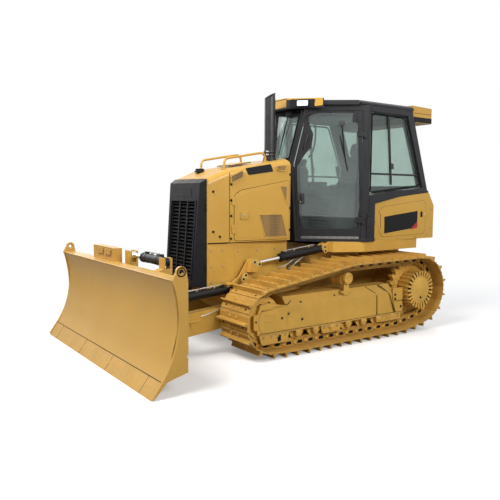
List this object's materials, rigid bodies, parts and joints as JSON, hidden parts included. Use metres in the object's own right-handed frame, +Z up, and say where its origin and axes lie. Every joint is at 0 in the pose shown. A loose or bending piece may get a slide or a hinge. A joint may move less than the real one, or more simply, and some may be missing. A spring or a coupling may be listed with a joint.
{
  "type": "crawler bulldozer",
  "caption": "Compact crawler bulldozer with an enclosed cab, steel tracks with grouser shoes and a straight blade that lifts, angles and tilts on a C-frame.",
  "frame": {"origin": "on the ground under the middle of the machine's overall box", "axes": "+X forward to the blade, +Y to the machine's left, +Z up"},
  "size_m": [4.4, 2.782, 2.8377],
  "materials": {
    "machine_paint": "semi-gloss",
    "track_steel": "satin",
    "running_gear": "satin",
    "dark_paint": "satin",
    "cab_paint": "satin",
    "glass": "polished",
    "engine_iron": "cast",
    "interior_plastic": "moulded",
    "seat_cloth": "woven",
    "edge_steel": "satin",
    "cylinder_paint": "gloss",
    "rod_chrome": "polished"
  },
  "bodies": {
    "root": {"main_frame": "machine_paint", "track_frames": "machine_paint", "track_left": "track_steel", "track_right": "track_steel", "sprockets": "running_gear", "final_drives": "machine_paint", "idlers": "running_gear", "track_rollers": "running_gear", "carrier_rollers": "running_gear", "drawbar": "machine_paint", "engine": "engine_iron", "hood": "machine_paint", "radiator_guard": "dark_paint", "grille": "dark_paint", "hood_rails": "machine_paint", "exhaust_stack": "dark_paint", "rear_tank": "machine_paint", "fenders": "machine_paint", "cab_floor": "cab_paint", "cab_frame": "cab_paint", "cab_roof": "cab_paint", "roof_visor": "dark_paint", "rear_light_box": "machine_paint", "cab_glass": "glass", "seat_base": "interior_plastic", "seat_cushion": "seat_cloth", "seat_back": "seat_cloth", "consoles": "interior_plastic"},
    "left_door": {"left_door": "cab_paint", "left_door_glass": "glass"},
    "right_door": {"right_door": "cab_paint", "right_door_glass": "glass"},
    "c_frame": {"c_frame": "machine_paint"},
    "knuckle": {"knuckle": "machine_paint"},
    "blade": {"blade": "machine_paint", "cutting_edge": "edge_steel"},
    "tilt_barrel": {"tilt_barrel": "cylinder_paint"},
    "tilt_rod": {"tilt_rod": "rod_chrome"},
    "lift_barrel_left": {"lift_barrel_left": "cylinder_paint"},
    "lift_rod_left": {"lift_rod_left": "rod_chrome"},
    "angle_yoke_left": {"angle_yoke_left": "dark_paint"},
    "angle_barrel_left": {"angle_barrel_left": "cylinder_paint"},
    "angle_rod_left": {"angle_rod_left": "rod_chrome"},
    "lift_barrel_right": {"lift_barrel_right": "cylinder_paint"},
    "lift_rod_right": {"lift_rod_right": "rod_chrome"},
    "angle_yoke_right": {"angle_yoke_right": "dark_paint"},
    "angle_barrel_right": {"angle_barrel_right": "cylinder_paint"},
    "angle_rod_right": {"angle_rod_right": "rod_chrome"}
  },
  "joints": [
    {"name": "c_frame_lift", "type": "hinge", "parent": "root", "child": "c_frame", "pos_m": [-0.15, 0, 0.5], "axis": [0, -1, 0], "range_deg": [-14.6, 17.7]},
    {"name": "blade_angle", "type": "hinge", "parent": "c_frame", "child": "knuckle", "pos_m": [1.63, 0, 0.33], "axis": [0, 0, 1], "range_deg": [-25, 25]},
    {"name": "blade_tilt", "type": "hinge", "parent": "knuckle", "child": "blade", "pos_m": [1.73, 0, 0.33], "axis": [1, 0, 0], "range_deg": [-9, 9]},
    {"name": "left_door_hinge", "type": "hinge", "parent": "root", "child": "left_door", "pos_m": [-0.85316, 0.73943, 1.9], "axis": [0, 0, 1], "range_deg": [0, 120]},
    {"name": "right_door_hinge", "type": "hinge", "parent": "root", "child": "right_door", "pos_m": [-0.85316, -0.73943, 1.9], "axis": [0, 0, -1], "range_deg": [0, 120]},
    {"name": "lift_barrel_left_turn", "type": "hinge", "parent": "root", "child": "lift_barrel_left", "pos_m": [-0.494, 0.447, 1.04], "axis": [0, -1, 0], "range_deg": [-8.9, 10.75]},
    {"name": "lift_rod_left_slide", "type": "slide", "parent": "lift_barrel_left", "child": "lift_rod_left", "axis": [0.9936, 0, -0.1133], "range_m": [-0.15512, 0.12813]},
    {"name": "angle_yoke_left_turn", "type": "hinge", "parent": "c_frame", "child": "angle_yoke_left", "pos_m": [0.82, 0.413, 0.668], "axis": [0, 0, 1], "range_deg": [-4.94, 4.94]},
    {"name": "angle_barrel_left_pitch", "type": "hinge", "parent": "angle_yoke_left", "child": "angle_barrel_left", "pos_m": [0.82, 0.413, 0.668], "axis": [0.0682, -0.9977, 0], "range_deg": [-4.57, 4.57]},
    {"name": "angle_rod_left_slide", "type": "slide", "parent": "angle_barrel_left", "child": "angle_rod_left", "axis": [0.9953, 0.068, -0.0691], "range_m": [-0.20151, 0.20151]},
    {"name": "lift_barrel_right_turn", "type": "hinge", "parent": "root", "child": "lift_barrel_right", "pos_m": [-0.494, -0.447, 1.04], "axis": [0, -1, 0], "range_deg": [-8.9, 10.75]},
    {"name": "lift_rod_right_slide", "type": "slide", "parent": "lift_barrel_right", "child": "lift_rod_right", "axis": [0.9936, 0, -0.1133], "range_m": [-0.15512, 0.12813]},
    {"name": "angle_yoke_right_turn", "type": "hinge", "parent": "c_frame", "child": "angle_yoke_right", "pos_m": [0.82, -0.413, 0.668], "axis": [0, 0, 1], "range_deg": [-4.94, 4.94]},
    {"name": "angle_barrel_right_pitch", "type": "hinge", "parent": "angle_yoke_right", "child": "angle_barrel_right", "pos_m": [0.82, -0.413, 0.668], "axis": [-0.0682, -0.9977, 0], "range_deg": [-4.57, 4.57]},
    {"name": "angle_rod_right_slide", "type": "slide", "parent": "angle_barrel_right", "child": "angle_rod_right", "axis": [0.9953, -0.068, -0.0691], "range_m": [-0.20151, 0.20151]},
    {"name": "tilt_barrel_turn", "type": "hinge", "parent": "blade", "child": "tilt_barrel", "pos_m": [1.745, 0.76, 1.05], "axis": [1, 0, 0], "range_deg": [-0.82, 0.82]},
    {"name": "tilt_rod_slide", "type": "slide", "parent": "tilt_barrel", "child": "tilt_rod", "axis": [0, -1, 0], "range_m": [-0.11354, 0.11354]}
  ],
  "couplings": [
    {"joint": "lift_barrel_left_turn", "follows": "c_frame_lift", "ratio": 0.59622},
    {"joint": "lift_rod_left_slide", "follows": "c_frame_lift", "m_per_rad": -0.49891},
    {"joint": "angle_yoke_left_turn", "follows": "blade_angle", "ratio": 0.18949},
    {"joint": "angle_barrel_left_pitch", "follows": "blade_tilt", "ratio": 0.4857},
    {"joint": "angle_rod_left_slide", "follows": "blade_angle", "m_per_rad": -0.45952},
    {"joint": "lift_barrel_right_turn", "follows": "c_frame_lift", "ratio": 0.59622},
    {"joint": "lift_rod_right_slide", "follows": "c_frame_lift", "m_per_rad": -0.49891},
    {"joint": "angle_yoke_right_turn", "follows": "blade_angle", "ratio": 0.18949},
    {"joint": "angle_barrel_right_pitch", "follows": "blade_tilt", "ratio": -0.4857},
    {"joint": "angle_rod_right_slide", "follows": "blade_angle", "m_per_rad": 0.45952},
    {"joint": "tilt_barrel_turn", "follows": "blade_tilt", "ratio": 0.06921},
    {"joint": "tilt_rod_slide", "follows": "blade_tilt", "m_per_rad": -0.71646}
  ]
}
